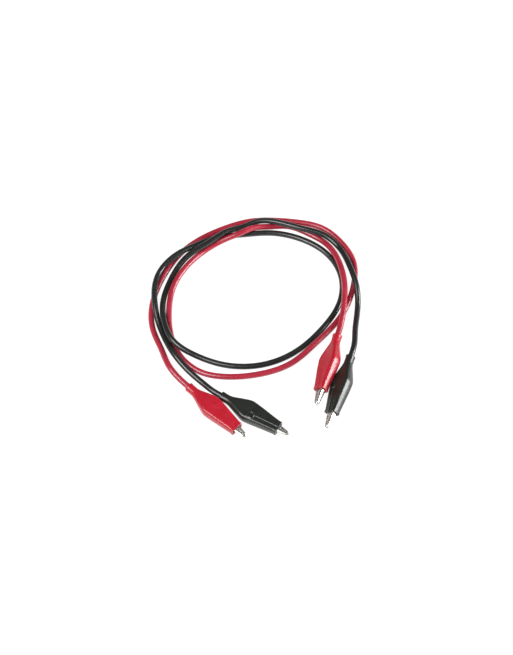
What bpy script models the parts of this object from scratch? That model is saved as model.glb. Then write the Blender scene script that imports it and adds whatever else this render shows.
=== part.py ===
"""Pair of test leads, each a thin insulated cable with a booted alligator clip on both ends.

A clip is built in its own frame in millimetres: x runs from the tail of the boot to the nose,
y is the way the jaws open, and z is the rivet's axis. The row frame is +Z up with its origin on
the table, under the middle of the four clips.
"""
import math

import bpy
import numpy as np
from mathutils import Euler, Matrix, Vector

MM = 0.001

# ---- driving dimensions, in millimetres ----
BOOT_LENGTH = 41.5
BOOT_WALL = 0.8
COLLAR_END = 6.0
COLLAR_BORE = 2.2
BOOT_SLIT = 0.5
SLIT_START = 26.0
SEAM_LEAD = 8.0
SHEET = 0.45
TOOTH_PITCH = 1.5
TOOTH_HEIGHT = 0.35
TEETH_START = 34.0
TEETH_END = 49.75
PARTING_GAP = 0.3
PIVOT = (23.0, -2.6)
HOLE_RADIUS = 0.9
HOLE_CUTTER_REACH = 4.0
NECK_START = 25.2
FIXED_EAR_RADIUS = 2.2
MOVING_EAR_RADIUS = 1.8
RIVET_RADIUS = 0.8
RIVET_PROFILE = ((1.2, -2.8), (1.7, -2.7), (1.7, -2.5), (RIVET_RADIUS, -2.5))
COIL_RADIUS = 1.35
COIL_TURNS = 3
STEPS_PER_TURN = 8
COIL_HALF_LENGTH = 0.75
WIRE_RADIUS = 0.22
FIXED_LEG_TIP = (-5.0, -1.2)
LEVER_LEG_TIP = (-6.0, 5.7)
CONDUCTOR_RADIUS = 0.8
CONDUCTOR_SIDES = 10
CONDUCTOR_SPAN = (7.3, 12.4)
CABLE_RADIUS = 1.9
CABLE_INSIDE_BOOT = 7.0
STRAIGHT_OUT = 6.0

# Boot sections: x, half width along y, half thickness along z, corner radius.
BOOT_SECTIONS = (
    (0.0, 2.75, 2.75, 2.35),
    (5.5, 2.75, 2.75, 2.35),
    (8.0, 3.35, 2.95, 2.3),
    (12.5, 4.8, 3.45, 2.0),
    (17.0, 6.2, 3.8, 1.8),
    (19.5, 6.7, 3.8, 1.7),
    (25.0, 6.1, 3.8, 1.7),
    (SLIT_START, 5.95, 3.75, 1.6),
    (34.0, 4.85, 3.35, 1.5),
    (BOOT_LENGTH, 3.85, 3.0, 1.3),
)

# Sheet-metal outlines along x: the back of the channel, and its half width along z.
FIXED_BACK = (
    (8.6, -1.55), (12.0, -1.55), (14.0, -2.7), (17.0, -4.4), (20.0, -5.0), (23.0, -5.15),
    (26.5, -4.7), (34.0, -3.6), (41.5, -2.6), (47.0, -1.9), (49.5, -1.5), (50.5, -1.0),
)
FIXED_HALF_WIDTH = (
    (8.6, 1.6), (12.0, 1.6), (14.0, 1.9), (17.0, 2.35), (26.0, 2.35), (34.0, 2.2),
    (41.5, 1.85), (50.5, 1.25),
)
FIXED_EDGE_BEHIND_PIVOT = ((8.6, 0.9), (12.0, 0.9), (14.0, -0.8), (17.0, -2.6))
MOVING_BACK = (
    (14.5, 3.7), (16.0, 4.35), (19.5, 5.2), (23.0, 5.2), (26.5, 4.7), (34.0, 3.6),
    (41.5, 2.6), (47.0, 1.9), (49.5, 1.5), (50.5, 1.0),
)
MOVING_HALF_WIDTH = (
    (14.5, 1.3), (16.0, 1.65), (26.5, 1.65), (29.0, 2.3), (34.0, 2.2), (41.5, 1.85), (50.5, 1.25),
)
MOVING_EDGE_BEHIND_PIVOT = ((14.5, 2.6), (16.0, 2.7), (19.5, 2.0), (21.0, -0.8))

# Clips: tail centre x, y, z; heading, nose-up pitch and roll in degrees; and how far the metal
# clip has slid forward in its boot.
CLIPS = {
    "red_left": ((-50.2, -0.9, 3.8), -44.0, 0.0, 180.0, -2.0),
    "black_left": ((-30.1, -7.0, 3.8), -32.7, 0.0, 0.0, -2.0),
    "red_right": ((42.2, 34.4, 5.6), -106.2, 3.0, 42.0, 1.0),
    "black_right": ((49.9, 18.9, 6.63), -108.1, 0.0, 42.0, 1.0),
}

# Cable routes over the table from the left clip to the right one: x, y and the height of the
# cable's underside above the table, so 0 lies on the table and 4 lies across another strand.
ROUTES = {
    "red": (
        (-62, 12, 3), (-68, 26.5, 0.5), (-73.5, 40, 0), (-75, 58, 0), (-72, 71.5, 0),
        (-66.5, 84.5, 0), (-56.5, 99.5, 0), (-47.5, 107.5, 0), (-27.5, 118.5, 0),
        (-11, 123.5, 0), (3, 124, 0), (18.5, 122.5, 0), (34.5, 118, 0), (46.5, 107, 0),
        (54.5, 91, 0), (54.5, 77.5, 0), (50.5, 62, 0), (44, 49, 0), (28, 29.5, 2),
        (13.5, 16.5, 1), (-7, 9, 0), (-28, 7, 0.5), (-43, 10.5, 0), (-56.5, 22.5, 0),
        (-62, 35.5, 0), (-64, 56.5, 1), (-62.5, 68.5, 1.5), (-51, 90.5, 1.5), (-38.5, 103, 0),
        (-29.5, 107.5, 2), (-20, 110.5, 4.5), (-11, 115.5, 3.6), (1.5, 119, 0), (11.5, 119, 0.5),
        (25.5, 113.5, 0), (35, 107, 0.5), (44.5, 89.5, 4), (47.5, 74.5, 4.5), (47, 57.5, 4.5),
    ),
    "black": (
        (-40, 0.5, 1.5), (-52.5, 12.5, 2), (-61.5, 24.5, 3), (-65.5, 33, 1), (-70.5, 46, 1),
        (-73, 58, 4), (-73.5, 70.5, 4), (-69.5, 84.5, 3), (-60.5, 94, 4.5), (-48.5, 102.5, 2.5),
        (-37, 109, 0.5), (-15.5, 113, 0), (1, 114, 0), (20, 109.5, 0), (37.5, 97.5, 0),
        (45.5, 82.5, 0), (45, 62.5, 0), (32.5, 41, 0), (16, 25, 0), (-3.5, 16, 0),
        (-28, 15.5, 0), (-45, 21, 1), (-61, 31, 4.5), (-66, 42, 4), (-68, 58.5, 2),
        (-64.5, 75.5, 0), (-53.5, 93.5, 3), (-38, 105, 4.5), (-27, 113, 4), (-16, 118, 2),
        (-8.5, 121, 3), (2.5, 120.5, 4), (21.5, 114.5, 4.5), (36, 110, 3.2), (45, 102, 1.5),
        (51, 87, 4.5), (55.5, 70, 3.5), (56, 59.5, 0.5), (53.5, 39, 2),
    ),
}
CABLE_POINT_SPACING = 8.8

COLOURS = {
    "red_boot": ((0.62, 0.014, 0.035), 0.42, 0.0),
    "black_boot": ((0.022, 0.024, 0.022), 0.45, 0.0),
    "red_insulation": ((0.58, 0.03, 0.09), 0.35, 0.0),
    "black_insulation": ((0.02, 0.023, 0.021), 0.38, 0.0),
    "nickel_steel": ((0.72, 0.71, 0.68), 0.25, 1.0),
    "spring_steel": ((0.5, 0.5, 0.5), 0.35, 1.0),
    "copper": ((0.85, 0.45, 0.28), 0.35, 1.0),
}


def clear_scene():
    for old in list(bpy.data.objects):
        bpy.data.objects.remove(old, do_unlink=True)


def make_material(name, colour, roughness, metallic):
    material = bpy.data.materials.new(name)
    material.use_nodes = True
    shader = material.node_tree.nodes["Principled BSDF"]
    shader.inputs["Base Color"].default_value = (*colour, 1.0)
    shader.inputs["Roughness"].default_value = roughness
    shader.inputs["Metallic"].default_value = metallic
    return material


def along(table, x):
    """Value of a (position, value) table at x, straight between its rows."""
    return float(np.interp(x, [row[0] for row in table], [row[1] for row in table]))


def add_object(name, mesh, material, parent=None):
    piece = bpy.data.objects.new(name, mesh)
    bpy.context.collection.objects.link(piece)
    mesh.materials.clear()
    mesh.materials.append(material)
    piece.parent = parent
    return piece


def mesh_from(name, points, faces):
    mesh = bpy.data.meshes.new(name)
    mesh.from_pydata([Vector(point) * MM for point in points], [], faces)
    mesh.validate()
    mesh.update()
    return mesh


def loft(name, rings):
    """Closed solid through equal rings of points, with a flat cap on each end."""
    count = len(rings[0])
    points = [point for ring in rings for point in ring]
    faces = [tuple(reversed(range(count)))]
    for row in range(len(rings) - 1):
        for col in range(count):
            after = (col + 1) % count
            low = row * count
            high = low + count
            faces.append((low + col, low + after, high + after, high + col))
    last = (len(rings) - 1) * count
    faces.append(tuple(last + col for col in range(count)))
    return mesh_from(name, points, faces)


# ---- boot ----
def parting_line(x):
    """Height of the line where the jaws meet, which is also the line of the boot's slit."""
    return min(0.0, -0.1 * (BOOT_LENGTH - x))


def boot_ring(x, half_width, half_thick, corner):
    """Rounded rectangle, with two extra points on each flat side at the slit's edges."""
    slit = parting_line(x) if x > SLIT_START - SEAM_LEAD else 0.0
    ring = []
    quadrants = ((1, 1, 0), (-1, 1, 90), (-1, -1, 180), (1, -1, 270))
    for side_y, side_z, start in quadrants:
        for step in range(4):
            angle = math.radians(start + 30 * step)
            y = side_y * (half_width - corner) + corner * math.cos(angle)
            z = side_z * (half_thick - corner) + corner * math.sin(angle)
            ring.append((x, y, z))
        if start in (0, 180):
            for edge in (side_y, -side_y):
                ring.append((x, slit + edge * BOOT_SLIT / 2, side_z * half_thick))
    return ring


def boot_mesh():
    outer = [boot_ring(*row) for row in BOOT_SECTIONS]
    inner = []
    for x, half_width, half_thick, corner in BOOT_SECTIONS:
        wall = BOOT_WALL if x > COLLAR_END else half_width - COLLAR_BORE
        inner.append(boot_ring(x, half_width - wall, half_thick - wall, max(corner - wall, 0.4)))
    count = len(outer[0])
    rows = len(outer)
    slit_row = [row[0] for row in BOOT_SECTIONS].index(SLIT_START)
    slit_cols = (4, 4 + count // 2)
    offset = rows * count
    faces = []

    def slot(row, col):
        return row >= slit_row and col in slit_cols

    for row in range(rows - 1):
        for col in range(count):
            if slot(row, col):
                continue
            after = (col + 1) % count
            a, b = row * count + col, row * count + after
            c, d = b + count, a + count
            faces.append((a, b, c, d))
            faces.append((offset + d, offset + c, offset + b, offset + a))
    for col in slit_cols:
        for row in range(slit_row, rows - 1):
            a, d = row * count + col, (row + 1) * count + col
            faces.append((d, a, offset + a, offset + d))
            faces.append((a + 1, d + 1, offset + d + 1, offset + a + 1))
        a = slit_row * count + col
        faces.append((a, a + 1, offset + a + 1, offset + a))
    last = (rows - 1) * count
    for col in range(count):
        after = (col + 1) % count
        faces.append((offset + col, offset + after, after, col))
        if col not in slit_cols:
            faces.append((last + col, last + after, offset + last + after, offset + last + col))
    return mesh_from("boot", [p for ring in outer + inner for p in ring], faces)


# ---- stamped jaws ----
def tooth(x):
    """Zigzag of the teeth, zero outside the toothed stretch."""
    if not TEETH_START <= x <= TEETH_END:
        return 0.0
    phase = ((x - TEETH_START) / TOOTH_PITCH) % 1.0
    return TOOTH_HEIGHT * (1.0 - 4.0 * abs(phase - 0.5))


def ear_stations(radius):
    return [PIVOT[0] - radius * math.cos(math.radians(30 * step)) for step in range(7)]


def tooth_stations():
    count = int(round((TEETH_END - TEETH_START) / TOOTH_PITCH * 2))
    return [TEETH_START + step * TOOTH_PITCH / 2 for step in range(count + 1)]


def channel_mesh(name, stations, back, half_width, edge, side):
    """Bent sheet channel. side is -1 where its back is at -y, and 1 where it is at +y."""
    rings = []
    for x in stations:
        wide = half_width(x)
        outside = back(x)
        inside = outside - side * SHEET
        rim = edge(x)
        ring = [
            (x, rim, wide), (x, outside, wide), (x, outside, -wide), (x, rim, -wide),
            (x, rim, SHEET - wide), (x, inside, SHEET - wide),
            (x, inside, wide - SHEET), (x, rim, wide - SHEET),
        ]
        rings.append(ring if side < 0 else list(reversed(ring)))
    return loft(name, rings)


def fixed_jaw_edge(x):
    ear_reach = abs(x - PIVOT[0])
    if x <= FIXED_EDGE_BEHIND_PIVOT[-1][0]:
        return along(FIXED_EDGE_BEHIND_PIVOT, x)
    if ear_reach <= FIXED_EAR_RADIUS:
        return PIVOT[1] + math.sqrt(max(FIXED_EAR_RADIUS ** 2 - ear_reach ** 2, 0.0))
    if x < PIVOT[0]:
        return PIVOT[1]
    neck = PIVOT[1] + (x - NECK_START)
    return min(neck, parting_line(x) - PARTING_GAP / 2) + tooth(x)


def moving_jaw_edge(x):
    ear_reach = abs(x - PIVOT[0])
    if x <= MOVING_EDGE_BEHIND_PIVOT[-1][0]:
        return along(MOVING_EDGE_BEHIND_PIVOT, x)
    if ear_reach <= MOVING_EAR_RADIUS:
        return PIVOT[1] - math.sqrt(max(MOVING_EAR_RADIUS ** 2 - ear_reach ** 2, 0.0))
    return parting_line(x) + PARTING_GAP / 2 + tooth(x)


def cut_pivot_hole(piece, cutter):
    cut = piece.modifiers.new("pivot_hole", "BOOLEAN")
    cut.operation = "DIFFERENCE"
    cut.solver = "EXACT"
    cut.object = cutter


def hole_cutter(parent):
    ring = circle_ring(HOLE_RADIUS, 0.0)
    ends = (-HOLE_CUTTER_REACH, HOLE_CUTTER_REACH)
    rings = [[(x, y, z + level) for x, y, z in ring] for level in ends]
    cutter = add_object("pivot_cutter", loft("pivot_cutter", rings), STEEL, parent)
    cutter.hide_render = True
    cutter.display_type = "WIRE"
    return cutter


def circle_ring(radius, level, sides=16):
    turn = [2 * math.pi * step / sides for step in range(sides)]
    return [(radius * math.cos(a), radius * math.sin(a), level) for a in turn]


def rivet_mesh():
    rings = [circle_ring(radius, level) for radius, level in RIVET_PROFILE]
    rings += [circle_ring(radius, -level) for radius, level in reversed(RIVET_PROFILE)]
    return loft("rivet", rings)


def conductor_mesh():
    rings = []
    for x in CONDUCTOR_SPAN:
        rings.append([(x, y, z) for y, z, _ in circle_ring(CONDUCTOR_RADIUS, 0.0, CONDUCTOR_SIDES)])
    return loft("conductor", rings)


def spring_points():
    """Wire from the fixed jaw's back, three turns round the rivet, to the lever's underside."""
    points = [(*FIXED_LEG_TIP, -COIL_HALF_LENGTH)]
    steps = COIL_TURNS * STEPS_PER_TURN + STEPS_PER_TURN // 2
    for step in range(steps + 1):
        angle = -math.pi / 2 + 2 * math.pi * step / STEPS_PER_TURN
        level = COIL_HALF_LENGTH * (2 * step / steps - 1)
        points.append((COIL_RADIUS * math.cos(angle), COIL_RADIUS * math.sin(angle), level))
    points.append((*LEVER_LEG_TIP, COIL_HALF_LENGTH))
    return points


def tube(name, points, radius, resolution, material, parent=None):
    """Round solid along metre points, with flat ends."""
    curve = bpy.data.curves.new(name, "CURVE")
    curve.dimensions = "3D"
    curve.bevel_depth = radius * MM
    curve.bevel_resolution = resolution
    curve.render_resolution_u = 0
    curve.use_fill_caps = True
    spline = curve.splines.new("POLY")
    spline.points.add(len(points) - 1)
    for slot, point in zip(spline.points, points):
        slot.co = (*point, 1.0)
    curve.materials.append(material)
    piece = bpy.data.objects.new(name, curve)
    bpy.context.collection.objects.link(piece)
    piece.parent = parent
    return piece


# ---- cables ----
def smooth_curve(points, spacing):
    """Natural cubic spline through the points, read at even steps along its length."""
    knots = np.array(points, dtype=float)
    gaps = np.linalg.norm(np.diff(knots, axis=0), axis=1)
    places = np.concatenate([[0.0], np.cumsum(gaps)])
    size = len(knots)
    system = np.eye(size)
    right = np.zeros((size, 3))
    for row in range(1, size - 1):
        before, after = gaps[row - 1], gaps[row]
        system[row, row - 1:row + 2] = (before, 2 * (before + after), after)
        slopes = (knots[row + 1] - knots[row]) / after - (knots[row] - knots[row - 1]) / before
        right[row] = 6 * slopes
    bends = np.linalg.solve(system, right)

    def at(place):
        row = min(int(np.searchsorted(places, place, side="right")) - 1, size - 2)
        gap = gaps[row]
        back, ahead = places[row + 1] - place, place - places[row]
        cubic = (bends[row] * back ** 3 + bends[row + 1] * ahead ** 3) / (6 * gap)
        start = (knots[row] / gap - bends[row] * gap / 6) * back
        end = (knots[row + 1] / gap - bends[row + 1] * gap / 6) * ahead
        return cubic + start + end

    steps = int(places[-1] / spacing)
    return [at(places[-1] * step / steps) for step in range(steps + 1)]


def clip_frame(name):
    """Matrix, in metres, from a clip's own frame to the row frame."""
    tail, heading, pitch, roll, _ = CLIPS[name]
    turn = Euler((math.radians(roll), math.radians(-pitch), math.radians(heading)), "XYZ")
    return Matrix.Translation(Vector(tail) * MM) @ turn.to_matrix().to_4x4()


def cable_end(name):
    """Cable knots from inside the boot to just behind its tail."""
    frame = clip_frame(name)
    inside = CABLE_INSIDE_BOOT + CLIPS[name][-1]
    return [frame @ Vector((x * MM, 0.0, 0.0)) for x in (inside, 0.0, -STRAIGHT_OUT)]


def cable_points(colour):
    left, right = (cable_end(f"{colour}_{side}") for side in ("left", "right"))
    route = [Vector((x, y, lift + CABLE_RADIUS)) * MM for x, y, lift in ROUTES[colour]]
    knots = left + route + list(reversed(right))
    points = smooth_curve(knots, CABLE_POINT_SPACING * MM)
    lowest = CABLE_RADIUS * MM
    return [(x, y, max(z, lowest)) for x, y, z in points]


def build_clip(name, meshes, boot_material):
    frame = bpy.data.objects.new(name + "_frame", None)
    bpy.context.collection.objects.link(frame)
    frame.matrix_world = clip_frame(name)
    metal = bpy.data.objects.new(name + "_metal", None)
    bpy.context.collection.objects.link(metal)
    metal.parent = frame
    metal.location.x = CLIPS[name][-1] * MM
    pivot = bpy.data.objects.new(name + "_pivot", None)
    bpy.context.collection.objects.link(pivot)
    pivot.parent = metal
    pivot.location = Vector((PIVOT[0], PIVOT[1], 0.0)) * MM
    cutter = hole_cutter(pivot)
    add_object(name + "_boot", meshes["boot"].copy(), boot_material, frame)
    fixed = add_object(name + "_fixed_jaw", meshes["fixed_jaw"].copy(), STEEL, metal)
    cut_pivot_hole(fixed, cutter)
    moving = add_object(name + "_moving_jaw", meshes["moving_jaw"].copy(), STEEL, pivot)
    cut_pivot_hole(moving, cutter)
    add_object(name + "_rivet", meshes["rivet"].copy(), STEEL, pivot)
    add_object(name + "_conductor", meshes["conductor"].copy(), COPPER, metal)
    wire = [Vector(point) * MM for point in spring_points()]
    tube(name + "_spring", wire, WIRE_RADIUS, 1, SPRING_STEEL, pivot)


clear_scene()
MATERIALS = {name: make_material(name, *look) for name, look in COLOURS.items()}
STEEL = MATERIALS["nickel_steel"]
SPRING_STEEL = MATERIALS["spring_steel"]
COPPER = MATERIALS["copper"]

fixed_stations = [8.6, 12.0, 14.0, 17.0, *ear_stations(FIXED_EAR_RADIUS), 26.5, 30.0]
fixed_stations += [*tooth_stations(), 50.5]
moving_stations = [14.5, 16.0, 19.5, *ear_stations(MOVING_EAR_RADIUS), 25.6, 26.5, 29.0]
moving_stations += [*tooth_stations(), 50.5]
MESHES = {
    "boot": boot_mesh(),
    "fixed_jaw": channel_mesh(
        "fixed_jaw", fixed_stations, lambda x: along(FIXED_BACK, x),
        lambda x: along(FIXED_HALF_WIDTH, x), fixed_jaw_edge, -1,
    ),
    "moving_jaw": channel_mesh(
        "moving_jaw", moving_stations, lambda x: along(MOVING_BACK, x),
        lambda x: along(MOVING_HALF_WIDTH, x), moving_jaw_edge, 1,
    ),
    "rivet": rivet_mesh(),
    "conductor": conductor_mesh(),
}
MESHES["moving_jaw"].transform(Matrix.Translation(Vector((-PIVOT[0], -PIVOT[1], 0.0)) * MM))

for clip in CLIPS:
    build_clip(clip, MESHES, MATERIALS[clip.split("_")[0] + "_boot"])
for colour in ROUTES:
    tube(colour + "_cable", cable_points(colour), CABLE_RADIUS, 2,
         MATERIALS[colour + "_insulation"])
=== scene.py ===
"""Looks of a pair of test leads: red and black cables with booted alligator clips.

Lengths here are millimetres in a clip's own frame (x from the boot's tail to the nose, y the way
the jaws open, z the rivet's axis) and become metres when a piece is made.
"""
import math

import bmesh
import bpy
import numpy as np
from mathutils import Euler, Matrix, Vector


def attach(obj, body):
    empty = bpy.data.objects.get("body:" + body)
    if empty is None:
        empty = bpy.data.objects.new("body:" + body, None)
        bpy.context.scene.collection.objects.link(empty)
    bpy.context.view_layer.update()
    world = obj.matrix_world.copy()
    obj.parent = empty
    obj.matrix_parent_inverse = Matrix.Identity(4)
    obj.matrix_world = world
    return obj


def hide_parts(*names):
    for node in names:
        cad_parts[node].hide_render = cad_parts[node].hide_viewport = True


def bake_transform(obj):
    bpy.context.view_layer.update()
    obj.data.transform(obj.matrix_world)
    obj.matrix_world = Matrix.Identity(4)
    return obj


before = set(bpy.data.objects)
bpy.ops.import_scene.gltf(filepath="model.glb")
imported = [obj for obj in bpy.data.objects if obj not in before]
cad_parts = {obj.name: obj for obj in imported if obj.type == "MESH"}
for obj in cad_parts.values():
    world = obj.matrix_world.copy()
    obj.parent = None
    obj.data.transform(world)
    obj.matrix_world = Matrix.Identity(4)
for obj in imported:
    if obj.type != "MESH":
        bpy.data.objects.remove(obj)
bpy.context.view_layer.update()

MM = 0.001

# ---- sizes shared with the CAD model ----
BOOT_LENGTH = 41.5
BOOT_WALL = 0.8
COLLAR_END = 6.0
COLLAR_BORE = 2.2
BOOT_SLIT = 0.14
SLIT_START = 26.0
SHEET = 0.45
TOOTH_PITCH = 1.5
TOOTH_HEIGHT = 0.35
TEETH_START = 34.0
TEETH_END = 49.75
PARTING_GAP = 0.3
PIVOT = (23.0, -2.6)
HOLE_RADIUS = 0.9
HOLE_CUTTER_REACH = 4.0
NECK_START = 25.2
FIXED_EAR_RADIUS = 2.2
MOVING_EAR_RADIUS = 1.8
RIVET_RADIUS = 0.8
COIL_RADIUS = 1.35
COIL_TURNS = 3
COIL_HALF_LENGTH = 0.75
WIRE_RADIUS = 0.22
FIXED_LEG_TIP = (-5.0, -1.2)
LEVER_LEG_TIP = (-6.0, 5.7)
CONDUCTOR_SPAN = (7.3, 12.4)
CABLE_RADIUS = 1.9
CABLE_INSIDE_BOOT = 7.0
STRAIGHT_OUT = 6.0

BOOT_SECTIONS = (
    (0.0, 2.75, 2.75, 2.35),
    (5.5, 2.75, 2.75, 2.35),
    (8.0, 3.35, 2.95, 2.3),
    (12.5, 4.8, 3.45, 2.0),
    (17.0, 6.2, 3.8, 1.8),
    (19.5, 6.7, 3.8, 1.7),
    (25.0, 6.1, 3.8, 1.7),
    (SLIT_START, 5.95, 3.75, 1.6),
    (34.0, 4.85, 3.35, 1.5),
    (BOOT_LENGTH, 3.85, 3.0, 1.3),
)
FIXED_BACK = (
    (8.6, -1.55), (12.0, -1.55), (14.0, -2.7), (17.0, -4.4), (20.0, -5.0), (23.0, -5.15),
    (26.5, -4.7), (34.0, -3.6), (41.5, -2.6), (47.0, -1.9), (49.2, -1.55), (49.9, -1.35),
    (50.3, -1.05), (50.5, -0.75),
)
FIXED_HALF_WIDTH = (
    (8.6, 1.6), (12.0, 1.6), (14.0, 1.9), (17.0, 2.35), (26.0, 2.35), (34.0, 2.2),
    (41.5, 1.85), (49.5, 1.3), (50.5, 0.95),
)
FIXED_EDGE_BEHIND_PIVOT = ((8.6, 0.9), (12.0, 0.9), (14.0, -0.8), (17.0, -2.6))
MOVING_BACK = (
    (14.5, 3.7), (16.0, 4.35), (19.5, 5.2), (23.0, 5.2), (26.5, 4.7), (34.0, 3.6),
    (41.5, 2.6), (47.0, 1.9), (49.2, 1.55), (49.9, 1.35), (50.3, 1.05), (50.5, 0.75),
)
MOVING_HALF_WIDTH = (
    (14.5, 1.3), (16.0, 1.65), (26.5, 1.65), (29.0, 2.3), (34.0, 2.2), (41.5, 1.85),
    (49.5, 1.3), (50.5, 0.95),
)
MOVING_EDGE_BEHIND_PIVOT = ((14.5, 2.6), (16.0, 2.7), (19.5, 2.0), (21.0, -0.8))

# Clips: tail centre x, y, z; heading, nose-up pitch and roll in degrees; and how far the metal
# clip has slid forward in its boot.
CLIPS = {
    "red_left": ((-50.2, -0.9, 3.8), -44.0, 0.0, 180.0, -2.0),
    "black_left": ((-30.1, -7.0, 3.8), -32.7, 0.0, 0.0, -2.0),
    "red_right": ((42.2, 34.4, 5.6), -106.2, 3.0, 42.0, 1.0),
    "black_right": ((49.9, 18.9, 6.63), -108.1, 0.0, 42.0, 1.0),
}

# Cable routes over the table, the same points as the CAD model's: x, y and the height of the
# cable's underside, in millimetres.
ROUTES = {
    "red": (
        (-62, 12, 3), (-68, 26.5, 0.5), (-73.5, 40, 0), (-75, 58, 0), (-72, 71.5, 0),
        (-66.5, 84.5, 0), (-56.5, 99.5, 0), (-47.5, 107.5, 0), (-27.5, 118.5, 0),
        (-11, 123.5, 0), (3, 124, 0), (18.5, 122.5, 0), (34.5, 118, 0), (46.5, 107, 0),
        (54.5, 91, 0), (54.5, 77.5, 0), (50.5, 62, 0), (44, 49, 0), (28, 29.5, 2),
        (13.5, 16.5, 1), (-7, 9, 0), (-28, 7, 0.5), (-43, 10.5, 0), (-56.5, 22.5, 0),
        (-62, 35.5, 0), (-64, 56.5, 1), (-62.5, 68.5, 1.5), (-51, 90.5, 1.5), (-38.5, 103, 0),
        (-29.5, 107.5, 2), (-20, 110.5, 4.5), (-11, 115.5, 3.6), (1.5, 119, 0), (11.5, 119, 0.5),
        (25.5, 113.5, 0), (35, 107, 0.5), (44.5, 89.5, 4), (47.5, 74.5, 4.5), (47, 57.5, 4.5),
    ),
    "black": (
        (-40, 0.5, 1.5), (-52.5, 12.5, 2), (-61.5, 24.5, 3), (-65.5, 33, 1), (-70.5, 46, 1),
        (-73, 58, 4), (-73.5, 70.5, 4), (-69.5, 84.5, 3), (-60.5, 94, 4.5), (-48.5, 102.5, 2.5),
        (-37, 109, 0.5), (-15.5, 113, 0), (1, 114, 0), (20, 109.5, 0), (37.5, 97.5, 0),
        (45.5, 82.5, 0), (45, 62.5, 0), (32.5, 41, 0), (16, 25, 0), (-3.5, 16, 0),
        (-28, 15.5, 0), (-45, 21, 1), (-61, 31, 4.5), (-66, 42, 4), (-68, 58.5, 2),
        (-64.5, 75.5, 0), (-53.5, 93.5, 3), (-38, 105, 4.5), (-27, 113, 4), (-16, 118, 2),
        (-8.5, 121, 3), (2.5, 120.5, 4), (21.5, 114.5, 4.5), (36, 110, 3.2), (45, 102, 1.5),
        (51, 87, 4.5), (55.5, 70, 3.5), (56, 59.5, 0.5), (53.5, 39, 2),
    ),
}

# ---- boot details ----
BOSS_CENTRE = (23.0, -3.0)
BOSS_RADIUS = 2.75
LIP_WIDTH = 0.4
# Heights of the rivet boss and of the slit's lips, by the boot's colour.
RELIEF = {"red": (0.16, 0.08), "black": (0.46, 0.23)}
SIDE_CROWN = 0.2
COLLAR_BEAD = 0.12
MOUTH_BEAD = 0.22
EDGE_ROUND = 0.16
RING_SPACING = 0.75
FINE_SPACING = 0.35
FINE_SPAN = (19.25, 26.6)
SMALLEST_SPACING = 0.2
SMOOTHING_PASSES = 14
FLAT_STEPS = 12
CORNER_STEPS = 6
SIDE_STEPS = 6
# The seam drops from the middle of the boot to the slit over this stretch.
SEAM_BEND = (16.0, 21.0)
# Faces ahead of this x and above the slit's line go to the flap piece.
FLAP_FROM = 10.0
SEAM_SIDE = 0.01

# ---- metal and cable details ----
OUTER_BEND = 0.75
SHEET_EDGE_ROUND = 0.07
HEAD_RADIUS = 1.7
HEAD_SEAT = 2.5
COIL_STEPS = 24
STRAND_COUNT = 7
STRAND_RADIUS = 0.25
STRAND_LAY = 0.52
STRAND_TWIST = 2.2
STRAND_STEPS = 24
CABLE_SPACING = 1.5

# ---- camera (its target in millimetres), lights and surroundings, in metres and watts ----
CAMERA_TARGET = (-8.5, 43.5, 0.0)
CAMERA_ELEVATION = 60.0
CAMERA_DISTANCE = 0.9
CAMERA_LENS = 78.2
WORLD_STRENGTH = 0.5
# Grey of the surroundings by the height of the direction: light at the horizon, dark above it.
SKY = ((0.0, 1.0), (0.3, 0.14), (0.75, 0.24))
FLOOR_GLOW = 0.92
FLOOR_HALF = 15.0
FLOOR_DROP = 0.0001
# Lights: place, what it points at, width and height, power.
LIGHTS = {
    "key": ((-0.6, -0.35, 1.0), (0.0, 0.04, 0.0), (0.75, 0.75), 16.5),
    "side_box": ((0.95, 0.06, 0.3), (0.045, 0.02, 0.005), (0.5, 0.42), 12.0),
}


def along(table, x):
    return float(np.interp(x, [row[0] for row in table], [row[1] for row in table]))


def smoothstep(low, high, value):
    t = min(max((value - low) / (high - low), 0.0), 1.0)
    return t * t * (3 - 2 * t)


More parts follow.
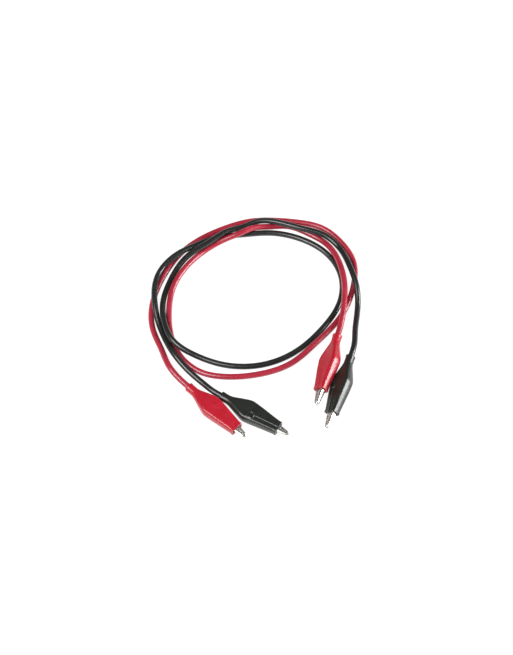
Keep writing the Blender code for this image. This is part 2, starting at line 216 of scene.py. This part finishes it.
# ---- materials ----
class Nodes:
    """Short way to add and link shader nodes."""

    def __init__(self, name):
        self.material = bpy.data.materials.new(name)
        self.material.use_nodes = True
        self.tree = self.material.node_tree
        self.shader = self.tree.nodes["Principled BSDF"]
        self.place = self.add("ShaderNodeTexCoord").outputs["Object"]

    def add(self, kind, **settings):
        node = self.tree.nodes.new(kind)
        for key, value in settings.items():
            setattr(node, key, value)
        return node

    def link(self, output, target):
        self.tree.links.new(output, target)

    def noise(self, size, detail=3.0, roughness=0.55, stretch=None):
        """Noise whose features are about size millimetres."""
        node = self.add("ShaderNodeTexNoise")
        node.inputs["Scale"].default_value = 1.0 / (size * MM)
        node.inputs["Detail"].default_value = detail
        node.inputs["Roughness"].default_value = roughness
        place = self.place
        if stretch:
            mapping = self.add("ShaderNodeMapping")
            mapping.inputs["Scale"].default_value = stretch
            self.link(place, mapping.inputs["Vector"])
            place = mapping.outputs["Vector"]
        self.link(place, node.inputs["Vector"])
        return node.outputs["Fac"]

    def ramp(self, value, *stops):
        node = self.add("ShaderNodeValToRGB")
        elements = node.color_ramp.elements
        while len(elements) < len(stops):
            elements.new(0.5)
        for element, (place, colour) in zip(elements, stops):
            element.position = place
            element.color = (*colour, 1.0)
        self.link(value, node.inputs["Fac"])
        return node.outputs["Color"]

    def range(self, value, low, high, out_low, out_high):
        node = self.add("ShaderNodeMapRange")
        for key, number in zip(
            ("From Min", "From Max", "To Min", "To Max"), (low, high, out_low, out_high)
        ):
            node.inputs[key].default_value = number
        self.link(value, node.inputs["Value"])
        return node.outputs["Result"]

    def bump(self, heights):
        """Bumps from (height output, depth in millimetres), one on another."""
        normal = None
        for height, depth in heights:
            node = self.add("ShaderNodeBump")
            node.inputs["Strength"].default_value = 1.0
            node.inputs["Distance"].default_value = depth * MM
            self.link(height, node.inputs["Height"])
            if normal:
                self.link(normal, node.inputs["Normal"])
            normal = node.outputs["Normal"]
        self.link(normal, self.shader.inputs["Normal"])

    def set(self, **values):
        for key, value in values.items():
            self.shader.inputs[key.replace("_", " ")].default_value = value


def soft_pvc(name, deep, bright, scuff, subsurface):
    """Satin moulded PVC: faint mottling, fine moulding texture, a few lighter scuffs."""
    nodes = Nodes(name)
    mottle = nodes.noise(5.0, 4.0)
    base = nodes.ramp(mottle, (0.3, deep), (0.7, bright))
    scuffs = nodes.ramp(nodes.noise(1.1, 5.0, 0.7), (0.66, (0, 0, 0)), (0.8, (1, 1, 1)))
    mix = nodes.add("ShaderNodeMix", data_type="RGBA")
    nodes.link(nodes.range(scuffs, 0.0, 1.0, 0.0, 0.35), mix.inputs["Factor"])
    nodes.link(base, mix.inputs["A"])
    mix.inputs["B"].default_value = (*scuff, 1.0)
    nodes.link(mix.outputs["Result"], nodes.shader.inputs["Base Color"])
    nodes.link(nodes.range(nodes.noise(2.2, 4.0), 0.3, 0.7, 0.27, 0.38),
               nodes.shader.inputs["Roughness"])
    nodes.bump(((nodes.noise(3.0, 2.0), 0.02), (nodes.noise(0.22, 3.0, 0.7), 0.006)))
    nodes.set(IOR=1.47, Coat_Weight=0.25, Coat_Roughness=0.2)
    if subsurface:
        nodes.set(Subsurface_Weight=subsurface, Subsurface_Scale=0.0015)
        nodes.shader.inputs["Subsurface Radius"].default_value = (1.0, 0.2, 0.1)
    return nodes.material


def insulation(name, deep, bright, subsurface):
    """Extruded cable skin: glossier, with slow colour drift and fine handling marks."""
    nodes = Nodes(name)
    base = nodes.ramp(nodes.noise(9.0, 3.0), (0.3, deep), (0.7, bright))
    nodes.link(base, nodes.shader.inputs["Base Color"])
    nodes.link(nodes.range(nodes.noise(1.5, 4.0), 0.3, 0.7, 0.22, 0.36),
               nodes.shader.inputs["Roughness"])
    nodes.bump(((nodes.noise(2.6, 2.0), 0.03), (nodes.noise(0.3, 3.0, 0.65), 0.004)))
    nodes.set(IOR=1.52, Coat_Weight=0.2, Coat_Roughness=0.18)
    if subsurface:
        nodes.set(Subsurface_Weight=subsurface, Subsurface_Scale=0.0012)
        nodes.shader.inputs["Subsurface Radius"].default_value = (1.0, 0.25, 0.18)
    return nodes.material


def plated_metal(name, dark, bright, rough_low, rough_high, scratch):
    """Plated sheet or wire: cloudy plating, fine drawing lines and small pits."""
    nodes = Nodes(name)
    cloud = nodes.noise(1.6, 5.0, 0.6)
    nodes.link(nodes.ramp(cloud, (0.3, dark), (0.62, bright)), nodes.shader.inputs["Base Color"])
    streaks = nodes.noise(0.25, 3.0, 0.6, stretch=(1.0, 0.12, 0.5))
    nodes.link(nodes.range(streaks, 0.3, 0.7, rough_low, rough_high),
               nodes.shader.inputs["Roughness"])
    nodes.bump(((streaks, scratch), (nodes.noise(0.7, 3.0), 0.002)))
    nodes.set(Metallic=1.0)
    return nodes.material


# ---- mesh tools ----
def clip_frame(name):
    """Matrix, in metres, from a boot's own frame to the row frame."""
    tail, heading, pitch, roll, _ = CLIPS[name]
    turn = Euler((math.radians(roll), math.radians(-pitch), math.radians(heading)), "XYZ")
    return Matrix.Translation(Vector(tail) * MM) @ turn.to_matrix().to_4x4()


def metal_frame(name):
    """The same for the metal clip, which has slid along in its boot."""
    return clip_frame(name) @ Matrix.Translation((CLIPS[name][-1] * MM, 0.0, 0.0))


def link_mesh(name, points, faces, material, matrix=None):
    """New mesh piece from millimetre points in a clip's frame, shaded smooth."""
    mesh = bpy.data.meshes.new(name)
    mesh.from_pydata([tuple(Vector(point) * MM) for point in points], [], faces)
    mesh.validate()
    if matrix:
        mesh.transform(matrix)
    mesh.shade_smooth()
    mesh.materials.append(material)
    piece = bpy.data.objects.new(name, mesh)
    bpy.context.scene.collection.objects.link(piece)
    return piece


def bake_modifiers(piece):
    """Replace the piece's mesh by the one its modifiers make."""
    depsgraph = bpy.context.evaluated_depsgraph_get()
    mesh = bpy.data.meshes.new_from_object(piece.evaluated_get(depsgraph))
    piece.modifiers.clear()
    piece.data = mesh
    return piece


def add_bevel(piece, width, segments, angle):
    bevel = piece.modifiers.new("edges", "BEVEL")
    bevel.width = width * MM
    bevel.segments = segments
    bevel.limit_method = "ANGLE"
    bevel.angle_limit = math.radians(angle)
    return bevel


def ring_faces(rings):
    """Points and faces of a closed solid through equal rings, with a flat cap on each end."""
    count = len(rings[0])
    points = [point for ring in rings for point in ring]
    faces = [tuple(reversed(range(count)))]
    for row in range(len(rings) - 1):
        for col in range(count):
            after = (col + 1) % count
            low = row * count
            high = low + count
            faces.append((low + col, low + after, high + after, high + col))
    last = (len(rings) - 1) * count
    faces.append(tuple(last + col for col in range(count)))
    return points, faces


def sweep(points, radius, sides):
    """Rings of a round tube along the points, without twist."""
    line = [Vector(point) for point in points]
    ahead = (line[1] - line[0]).normalized()
    side = ahead.orthogonal().normalized()
    rings = []
    for index, point in enumerate(line):
        before = line[max(index - 1, 0)]
        after = line[min(index + 1, len(line) - 1)]
        tangent = (after - before).normalized()
        side = (side - tangent * side.dot(tangent)).normalized()
        up = tangent.cross(side)
        ring = []
        for step in range(sides):
            angle = 2 * math.pi * step / sides
            ring.append(tuple(point + (side * math.cos(angle) + up * math.sin(angle)) * radius))
        rings.append(ring)
    return rings


# ---- boot ----
def parting_line(x):
    return min(0.0, -0.1 * (BOOT_LENGTH - x))


def slit_line(x):
    """Height of the boot's slit and, behind it, of the seam between sleeve and flap."""
    return parting_line(x) * smoothstep(*SEAM_BEND, x)


def boot_stations():
    """Places of the rings: close together round the boss and the slit's end."""
    coarse = np.arange(0.0, BOOT_LENGTH + 0.01, RING_SPACING)
    fine = np.arange(*FINE_SPAN, FINE_SPACING)
    low, high = FINE_SPAN
    places = sorted({round(float(x), 3) for x in coarse if not low < x < high} |
                    {round(float(x), 3) for x in fine} | {SLIT_START, BOOT_LENGTH})
    kept = [places[0]]
    for place in places[1:]:
        near = place - kept[-1] < SMALLEST_SPACING
        if near and place in (SLIT_START, BOOT_LENGTH):
            kept[-1] = place
        elif not near:
            kept.append(place)
    return kept


def softened(column):
    """A column of the section table as a function whose corners are gently rounded."""
    grid = np.arange(0.0, BOOT_LENGTH + 0.01, 0.25)
    values = np.interp(grid, [row[0] for row in BOOT_SECTIONS],
                       [row[column] for row in BOOT_SECTIONS])
    for _ in range(SMOOTHING_PASSES):
        values[1:-1] = 0.5 * values[1:-1] + 0.25 * (values[:-2] + values[2:])
    return lambda x: float(np.interp(x, grid, values))


HALF_WIDTH, HALF_THICK, CORNER = (softened(column) for column in (1, 2, 3))


def boot_ring(x, inset):
    """Ring of the sleeve at x, pulled in by inset. It runs from +y over +z, -y and -z."""
    half_width = HALF_WIDTH(x) - inset
    half_thick = HALF_THICK(x) - inset
    corner = max(CORNER(x) - inset, 0.35)
    slit = slit_line(x)
    flat = half_width - corner
    side = half_thick - corner
    crown = SIDE_CROWN * smoothstep(5.0, 12.0, x) if inset == 0 else 0.0
    ring = []

    def arc(centre_y, centre_z, start):
        for step in range(1, CORNER_STEPS):
            angle = math.radians(start + 90 * step / CORNER_STEPS)
            ring.append((x, centre_y + corner * math.cos(angle),
                         centre_z + corner * math.sin(angle)))

    def side_run(sign):
        for step in range(SIDE_STEPS + 1):
            z = side * (2 * step / SIDE_STEPS - 1) * sign
            bulge = crown * (1 - (z / max(side, 0.01)) ** 2)
            ring.append((x, sign * (half_width + bulge), z))

    def flat_run(sign):
        edges = (slit + sign * BOOT_SLIT / 2, slit - sign * BOOT_SLIT / 2)
        for step in range(FLAT_STEPS + 1):
            t = 1 - (1 - step / FLAT_STEPS) ** 1.4
            ring.append((x, sign * flat + (edges[0] - sign * flat) * t, sign * half_thick))
        for step in range(FLAT_STEPS + 1):
            t = (step / FLAT_STEPS) ** 1.4
            ring.append((x, edges[1] + (-sign * flat - edges[1]) * t, sign * half_thick))

    side_run(1)
    arc(flat, side, 0)
    flat_run(1)
    arc(-flat, side, 90)
    side_run(-1)
    arc(-flat, -side, 180)
    flat_run(-1)
    arc(flat, -side, 270)
    return ring


def boss_height(x, y, height):
    """Raised round boss over the rivet's head, with a rim standing a little prouder."""
    reach = math.hypot(x - BOSS_CENTRE[0], y - BOSS_CENTRE[1])
    plateau = 1 - smoothstep(BOSS_RADIUS - 0.45, BOSS_RADIUS + 0.1, reach)
    rim = math.exp(-((reach - (BOSS_RADIUS - 0.55)) / 0.28) ** 2)
    return height * (0.55 * plateau + 0.6 * rim * (0.3 + 0.7 * plateau))


def lip_height(x, y, height):
    """The slit's two lips stand a little proud of the flat side."""
    reach = (y - parting_line(x)) / LIP_WIDTH
    return height * math.exp(-reach ** 2) * smoothstep(SLIT_START - 1.5, SLIT_START + 1.0, x)


def boot_mesh_data(boss, lip):
    stations = boot_stations()
    outer = []
    inner = []
    for x in stations:
        wall = BOOT_WALL if x > COLLAR_END else HALF_WIDTH(x) - COLLAR_BORE
        bead = COLLAR_BEAD * (1 - smoothstep(0.6, 1.3, x))
        bead += MOUTH_BEAD * smoothstep(BOOT_LENGTH - 1.5, BOOT_LENGTH - 0.7, x)
        ring = []
        for px, y, z in boot_ring(x, 0.0):
            if abs(z) >= HALF_THICK(x) - 1e-6:
                z += math.copysign(boss_height(x, y, boss) + lip_height(x, y, lip), z)
            ring.append((px, y + math.copysign(bead * min(abs(y), 1.0), y),
                         z + math.copysign(bead * min(abs(z), 1.0), z)))
        outer.append(ring)
        inner.append(boot_ring(x, wall))
    count = len(outer[0])
    rows = len(outer)
    first_slit = (SIDE_STEPS + 1) + (CORNER_STEPS - 1) + FLAT_STEPS
    slit_cols = (first_slit, first_slit + count // 2)
    slit_row = stations.index(SLIT_START)
    offset = rows * count
    faces = []
    for row in range(rows - 1):
        for col in range(count):
            if row >= slit_row and col in slit_cols:
                continue
            after = (col + 1) % count
            a, b = row * count + col, row * count + after
            c, d = b + count, a + count
            faces.append((a, b, c, d))
            faces.append((offset + d, offset + c, offset + b, offset + a))
    for col in slit_cols:
        for row in range(slit_row, rows - 1):
            a, d = row * count + col, (row + 1) * count + col
            faces.append((d, a, offset + a, offset + d))
            faces.append((a + 1, d + 1, offset + d + 1, offset + a + 1))
        a = slit_row * count + col
        faces.append((a, a + 1, offset + a + 1, offset + a))
    last = (rows - 1) * count
    for col in range(count):
        after = (col + 1) % count
        faces.append((offset + col, offset + after, after, col))
        if col not in slit_cols:
            faces.append((last + col, last + after, offset + last + after, offset + last + col))
    return [point for ring in outer + inner for point in ring], faces


def split_boot(name, whole):
    """The sleeve and the flap in front of the pivot, made as two pieces; the flap is the part
    over the moving jaw.
    """
    to_clip = clip_frame(name).inverted()
    mesh = whole.data
    normals = [tuple(vertex.normal) for vertex in mesh.vertices]
    flap_faces = set()
    for face in mesh.polygons:
        centre = (to_clip @ face.center) / MM
        if centre.x > FLAP_FROM and centre.y > slit_line(centre.x) + SEAM_SIDE:
            flap_faces.add(face.index)
    pieces = []
    for part, keep_flap in (("sleeve", False), ("flap", True)):
        kept = [f for f in mesh.polygons if (f.index in flap_faces) == keep_flap]
        used = sorted({index for face in kept for index in face.vertices})
        place = {old: new for new, old in enumerate(used)}
        part_mesh = bpy.data.meshes.new(f"{name}_boot_{part}")
        part_mesh.from_pydata([mesh.vertices[old].co for old in used], [],
                              [[place[old] for old in face.vertices] for face in kept])
        part_mesh.shade_smooth()
        part_mesh.materials.append(mesh.materials[0])
        part_mesh.normals_split_custom_set_from_vertices([normals[old] for old in used])
        piece = bpy.data.objects.new(f"{name}_boot_{part}", part_mesh)
        bpy.context.scene.collection.objects.link(piece)
        pieces.append(piece)
    bpy.data.objects.remove(whole)
    return pieces


def make_boot(name, data, material):
    whole = link_mesh(name + "_boot_whole", *data, material, clip_frame(name))
    add_bevel(whole, EDGE_ROUND, 2, 50)
    bake_modifiers(whole)
    for vertex in whole.data.vertices:
        vertex.co.z = max(vertex.co.z, 0.0)
    whole.data.shade_smooth()
    sleeve, flap = split_boot(name, whole)
    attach(sleeve, "root")
    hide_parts(name + "_boot")
    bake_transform(flap)


# ---- stamped jaws ----
def tooth(x):
    if not TEETH_START <= x <= TEETH_END:
        return 0.0
    phase = ((x - TEETH_START) / TOOTH_PITCH) % 1.0
    return TOOTH_HEIGHT * (1.0 - 4.0 * abs(phase - 0.5))


def ear_stations(radius, steps=12):
    return [PIVOT[0] - radius * math.cos(math.pi * step / steps) for step in range(steps + 1)]


def tooth_stations():
    count = int(round((TEETH_END - TEETH_START) / TOOTH_PITCH * 2))
    return [TEETH_START + step * TOOTH_PITCH / 2 for step in range(count + 1)]


def fixed_edge(x):
    ear_reach = abs(x - PIVOT[0])
    if x <= FIXED_EDGE_BEHIND_PIVOT[-1][0]:
        return along(FIXED_EDGE_BEHIND_PIVOT, x)
    if ear_reach <= FIXED_EAR_RADIUS:
        return PIVOT[1] + math.sqrt(max(FIXED_EAR_RADIUS ** 2 - ear_reach ** 2, 0.0))
    if x < PIVOT[0]:
        return PIVOT[1]
    neck = PIVOT[1] + (x - NECK_START)
    return min(neck, parting_line(x) - PARTING_GAP / 2) + tooth(x)


def moving_edge(x):
    ear_reach = abs(x - PIVOT[0])
    if x <= MOVING_EDGE_BEHIND_PIVOT[-1][0]:
        return along(MOVING_EDGE_BEHIND_PIVOT, x)
    if ear_reach <= MOVING_EAR_RADIUS:
        return PIVOT[1] - math.sqrt(max(MOVING_EAR_RADIUS ** 2 - ear_reach ** 2, 0.0))
    return parting_line(x) + PARTING_GAP / 2 + tooth(x)


def channel_ring(x, rim, back, wide, side):
    """Section of a bent sheet channel with round bends. side is the y sign of its back."""
    room = min(abs(back - rim), wide) * 0.8
    outer_bend = min(OUTER_BEND, room)
    inner_bend = max(outer_bend - SHEET, 0.12)
    inside = back - side * SHEET

    def bend(corner_y, corner_z, radius, start):
        points = []
        for step in range(4):
            angle = math.radians(start + 30 * step)
            points.append((x, corner_y + side * radius * (math.sin(angle) - 1),
                           corner_z + math.copysign(radius, corner_z) * (math.cos(angle) - 1)))
        return points

    outer = [(x, rim, wide), *bend(back, wide, outer_bend, 0)]
    outer += [(x, y, -z) for _, y, z in reversed(outer)]
    inner = [(x, rim, wide - SHEET), *bend(inside, wide - SHEET, inner_bend, 0)]
    inner += [(x, y, -z) for _, y, z in reversed(inner)]
    ring = outer + list(reversed(inner))
    return ring if side < 0 else list(reversed(ring))


def circle_at_pivot(radius, z, sides):
    return [(PIVOT[0] + radius * math.cos(angle), PIVOT[1] + radius * math.sin(angle), z)
            for angle in np.linspace(0, 2 * math.pi, sides, endpoint=False)]


def make_jaw(name, part, stations, tables, edge, side, body, material):
    back, half_width = tables
    rings = [channel_ring(x, edge(x), along(back, x), along(half_width, x), side)
             for x in stations]
    points, faces = ring_faces(rings)
    jaw = link_mesh(f"{name}_{part}_plate", points, faces, material, metal_frame(name))
    bore = [circle_at_pivot(HOLE_RADIUS, z, 24) for z in (-HOLE_CUTTER_REACH, HOLE_CUTTER_REACH)]
    cutter = link_mesh("bore_cutter", *ring_faces(bore), material, metal_frame(name))
    cut = jaw.modifiers.new("bore", "BOOLEAN")
    cut.operation = "DIFFERENCE"
    cut.solver = "EXACT"
    cut.object = cutter
    add_bevel(jaw, SHEET_EDGE_ROUND, 2, 35)
    bake_modifiers(jaw)
    bpy.data.objects.remove(cutter)
    jaw.data.shade_smooth()
    jaw.data.set_sharp_from_angle(angle=math.radians(50))
    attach(jaw, body)
    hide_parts(f"{name}_{part}")


# ---- small inner pieces ----
def make_rivet(name, material):
    """Shaft with two domed heads, turned about the hinge axis."""
    dome = [(HEAD_RADIUS * math.cos(a), HEAD_SEAT + 0.05 + 0.3 * math.sin(a))
            for a in np.linspace(0, 1.35, 8)]
    profile = [(RIVET_RADIUS, HEAD_SEAT), (HEAD_RADIUS - 0.08, HEAD_SEAT), *dome]
    outline = [(radius, -level) for radius, level in reversed(profile)] + profile
    rings = [circle_at_pivot(radius, level, 32) for radius, level in outline]
    rivet = link_mesh(name + "_rivet_pin", *ring_faces(rings), material, metal_frame(name))
    rivet.data.set_sharp_from_angle(angle=math.radians(40))
    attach(rivet, "root")
    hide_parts(name + "_rivet")


def make_spring(name, material):
    """Torsion spring: a leg on the fixed jaw, three turns and a leg under the lever."""
    points = [(*FIXED_LEG_TIP, -COIL_HALF_LENGTH), (-2.5, -1.3, -COIL_HALF_LENGTH)]
    steps = COIL_TURNS * COIL_STEPS + COIL_STEPS // 2
    for step in range(steps + 1):
        angle = -math.pi / 2 + 2 * math.pi * step / COIL_STEPS
        level = COIL_HALF_LENGTH * (2 * step / steps - 1)
        points.append((COIL_RADIUS * math.cos(angle), COIL_RADIUS * math.sin(angle), level))
    points += [(-3.0, 3.5, COIL_HALF_LENGTH), (*LEVER_LEG_TIP, COIL_HALF_LENGTH)]
    placed = [(x + PIVOT[0], y + PIVOT[1], z) for x, y, z in points]
    rings = sweep(placed, WIRE_RADIUS, 10)
    spring = link_mesh(name + "_spring_wire", *ring_faces(rings), material, metal_frame(name))
    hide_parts(name + "_spring")
    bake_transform(spring)


def make_strands(name, material):
    """Seven bare strands twisted together, held in the crimp."""
    start, end = CONDUCTOR_SPAN
    points, faces = [], []
    for strand in range(STRAND_COUNT):
        lay = 0.0 if strand == 0 else STRAND_LAY
        line = []
        for step in range(STRAND_STEPS + 1):
            t = step / STRAND_STEPS
            angle = strand * math.pi / 3 + t * STRAND_TWIST
            line.append((start + (end - start) * t, lay * math.cos(angle), lay * math.sin(angle)))
        some, more = ring_faces(sweep(line, STRAND_RADIUS, 8))
        faces += [[index + len(points) for index in face] for face in more]
        points += some
    core = link_mesh(name + "_strands", points, faces, material, metal_frame(name))
    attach(core, "root")
    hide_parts(name + "_conductor")


# ---- cables ----
def smooth_curve(points, spacing):
    """Natural cubic spline through the points, read at even steps along its length."""
    knots = np.array(points, dtype=float)
    gaps = np.linalg.norm(np.diff(knots, axis=0), axis=1)
    places = np.concatenate([[0.0], np.cumsum(gaps)])
    size = len(knots)
    system = np.eye(size)
    right = np.zeros((size, 3))
    for row in range(1, size - 1):
        before, after = gaps[row - 1], gaps[row]
        system[row, row - 1:row + 2] = (before, 2 * (before + after), after)
        slopes = (knots[row + 1] - knots[row]) / after - (knots[row] - knots[row - 1]) / before
        right[row] = 6 * slopes
    bends = np.linalg.solve(system, right)

    def at(place):
        row = min(int(np.searchsorted(places, place, side="right")) - 1, size - 2)
        gap = gaps[row]
        back, ahead = places[row + 1] - place, place - places[row]
        cubic = (bends[row] * back ** 3 + bends[row + 1] * ahead ** 3) / (6 * gap)
        first = (knots[row] / gap - bends[row] * gap / 6) * back
        second = (knots[row + 1] / gap - bends[row + 1] * gap / 6) * ahead
        return cubic + first + second

    steps = int(places[-1] / spacing)
    return [at(places[-1] * step / steps) for step in range(steps + 1)]


def cable_end(name):
    """Cable knots from inside the boot to just behind its tail."""
    inside = CABLE_INSIDE_BOOT + CLIPS[name][-1]
    return [clip_frame(name) @ Vector((x * MM, 0.0, 0.0)) for x in (inside, 0.0, -STRAIGHT_OUT)]


def make_cable(colour, material):
    left, right = (cable_end(f"{colour}_{side}") for side in ("left", "right"))
    route = [Vector((x, y, lift + CABLE_RADIUS)) * MM for x, y, lift in ROUTES[colour]]
    knots = left + route + list(reversed(right))
    lowest = CABLE_RADIUS * MM
    points = [(x, y, max(z, lowest)) for x, y, z in smooth_curve(knots, CABLE_SPACING * MM)]
    curve = bpy.data.curves.new(colour + "_lead", "CURVE")
    curve.dimensions = "3D"
    curve.bevel_depth = CABLE_RADIUS * MM
    curve.bevel_resolution = 8
    curve.use_fill_caps = True
    spline = curve.splines.new("POLY")
    spline.points.add(len(points) - 1)
    for slot, point in zip(spline.points, points):
        slot.co = (*point, 1.0)
    spline.use_smooth = True
    curve.materials.append(material)
    lead = bpy.data.objects.new(colour + "_lead", curve)
    bpy.context.scene.collection.objects.link(lead)
    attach(lead, "root")
    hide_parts(colour + "_cable")


# ---- camera, light and floor ----
def make_camera():
    camera = bpy.data.cameras.new("camera")
    camera.sensor_width = 36.0
    camera.lens = CAMERA_LENS
    camera.clip_start = 0.01
    eye = bpy.data.objects.new("camera", camera)
    elevation = math.radians(CAMERA_ELEVATION)
    back = Vector((0.0, -math.cos(elevation), math.sin(elevation)))
    eye.location = Vector(CAMERA_TARGET) * MM + back * CAMERA_DISTANCE
    eye.rotation_euler = (math.radians(90 - CAMERA_ELEVATION), 0.0, 0.0)
    bpy.context.scene.collection.objects.link(eye)
    bpy.context.scene.camera = eye


def make_light(name, place, target, size, power):
    light = bpy.data.lights.new(name, "AREA")
    light.shape = "RECTANGLE"
    light.size, light.size_y = size
    light.energy = power
    lamp = bpy.data.objects.new(name, light)
    lamp.location = place
    lamp.rotation_euler = (Vector(target) - Vector(place)).to_track_quat("-Z", "Y").to_euler()
    bpy.context.scene.collection.objects.link(lamp)


def make_floor():
    nodes = Nodes("floor_paper")
    nodes.link(nodes.ramp(nodes.noise(60.0, 2.0), (0.3, (0.22, 0.22, 0.22)),
                          (0.7, (0.25, 0.25, 0.25))), nodes.shader.inputs["Base Color"])
    nodes.set(Roughness=0.9)
    nodes.shader.inputs["Emission Color"].default_value = (1, 1, 1, 1)
    nodes.shader.inputs["Emission Strength"].default_value = FLOOR_GLOW
    half = FLOOR_HALF
    mesh = bpy.data.meshes.new("floor")
    corners = [(-half, -half, 0), (half, -half, 0), (half, half, 0), (-half, half, 0)]
    mesh.from_pydata(corners, [], [(0, 1, 2, 3)])
    mesh.materials.append(nodes.material)
    floor = bpy.data.objects.new("floor", mesh)
    floor.location.z = -FLOOR_DROP
    bpy.context.scene.collection.objects.link(floor)


def make_world():
    world = bpy.data.worlds.new("studio")
    world.use_nodes = True
    tree = world.node_tree
    background = tree.nodes["Background"]
    place = tree.nodes.new("ShaderNodeTexCoord")
    split = tree.nodes.new("ShaderNodeSeparateXYZ")
    ramp = tree.nodes.new("ShaderNodeValToRGB")
    tree.links.new(place.outputs["Generated"], split.inputs["Vector"])
    tree.links.new(split.outputs["Z"], ramp.inputs["Fac"])
    ramp.color_ramp.elements.new(0.5)
    for element, (height, grey) in zip(ramp.color_ramp.elements, SKY):
        element.position = height
        element.color = (grey, grey, grey, 1)
    tree.links.new(ramp.outputs["Color"], background.inputs["Color"])
    background.inputs["Strength"].default_value = WORLD_STRENGTH
    bpy.context.scene.world = world


# ---- build ----
make_camera()
make_world()
make_floor()
for light_name, settings in LIGHTS.items():
    make_light(light_name, *settings)
bpy.context.scene.view_settings.view_transform = "Standard"

BOOT_LOOKS = {
    "red": soft_pvc("red_boot_pvc", (0.41, 0.006, 0.017), (0.49, 0.011, 0.029),
                    (0.58, 0.07, 0.09), 0.08),
    "black": soft_pvc("black_boot_pvc", (0.011, 0.013, 0.01), (0.018, 0.021, 0.017),
                      (0.045, 0.05, 0.045), 0.0),
}
LEAD_LOOKS = {
    "red": insulation("red_lead_pvc", (0.35, 0.015, 0.034), (0.43, 0.026, 0.052), 0.1),
    "black": insulation("black_lead_pvc", (0.011, 0.013, 0.012), (0.018, 0.021, 0.019), 0.0),
}
NICKEL = plated_metal("nickel_plate", (0.6, 0.585, 0.55), (0.84, 0.82, 0.78), 0.16, 0.5, 0.003)
SPRING = plated_metal("spring_wire", (0.4, 0.4, 0.4), (0.62, 0.62, 0.61), 0.2, 0.35, 0.002)
COPPER = plated_metal("copper_strand", (0.6, 0.24, 0.12), (0.86, 0.45, 0.28), 0.22, 0.4, 0.002)

for lead_colour in ROUTES:
    make_cable(lead_colour, LEAD_LOOKS[lead_colour])

BOOT_DATA = {colour: boot_mesh_data(*relief) for colour, relief in RELIEF.items()}
FIXED_STATIONS = [8.6, 10.3, 12.0, 13.0, 14.0, 15.5, 17.0, 18.5, *ear_stations(FIXED_EAR_RADIUS),
                  26.0, 26.6, 28.0, 30.0, 32.0, *tooth_stations(), 49.9, 50.3, 50.5]
MOVING_STATIONS = [14.5, 15.2, 16.0, 17.8, 19.5, 20.4, *ear_stations(MOVING_EAR_RADIUS), 25.6,
                   26.5, 27.7, 29.0, 31.0, 32.6, *tooth_stations(), 49.9, 50.3, 50.5]
for clip in CLIPS:
    boot_colour = clip.split("_")[0]
    make_boot(clip, BOOT_DATA[boot_colour], BOOT_LOOKS[boot_colour])
    make_jaw(clip, "fixed_jaw", FIXED_STATIONS, (FIXED_BACK, FIXED_HALF_WIDTH), fixed_edge, -1,
             "root", NICKEL)
    make_jaw(clip, "moving_jaw", MOVING_STATIONS, (MOVING_BACK, MOVING_HALF_WIDTH), moving_edge,
             1, clip + "_jaw", NICKEL)
    make_rivet(clip, NICKEL)
    make_spring(clip, SPRING)
    make_strands(clip, COPPER)
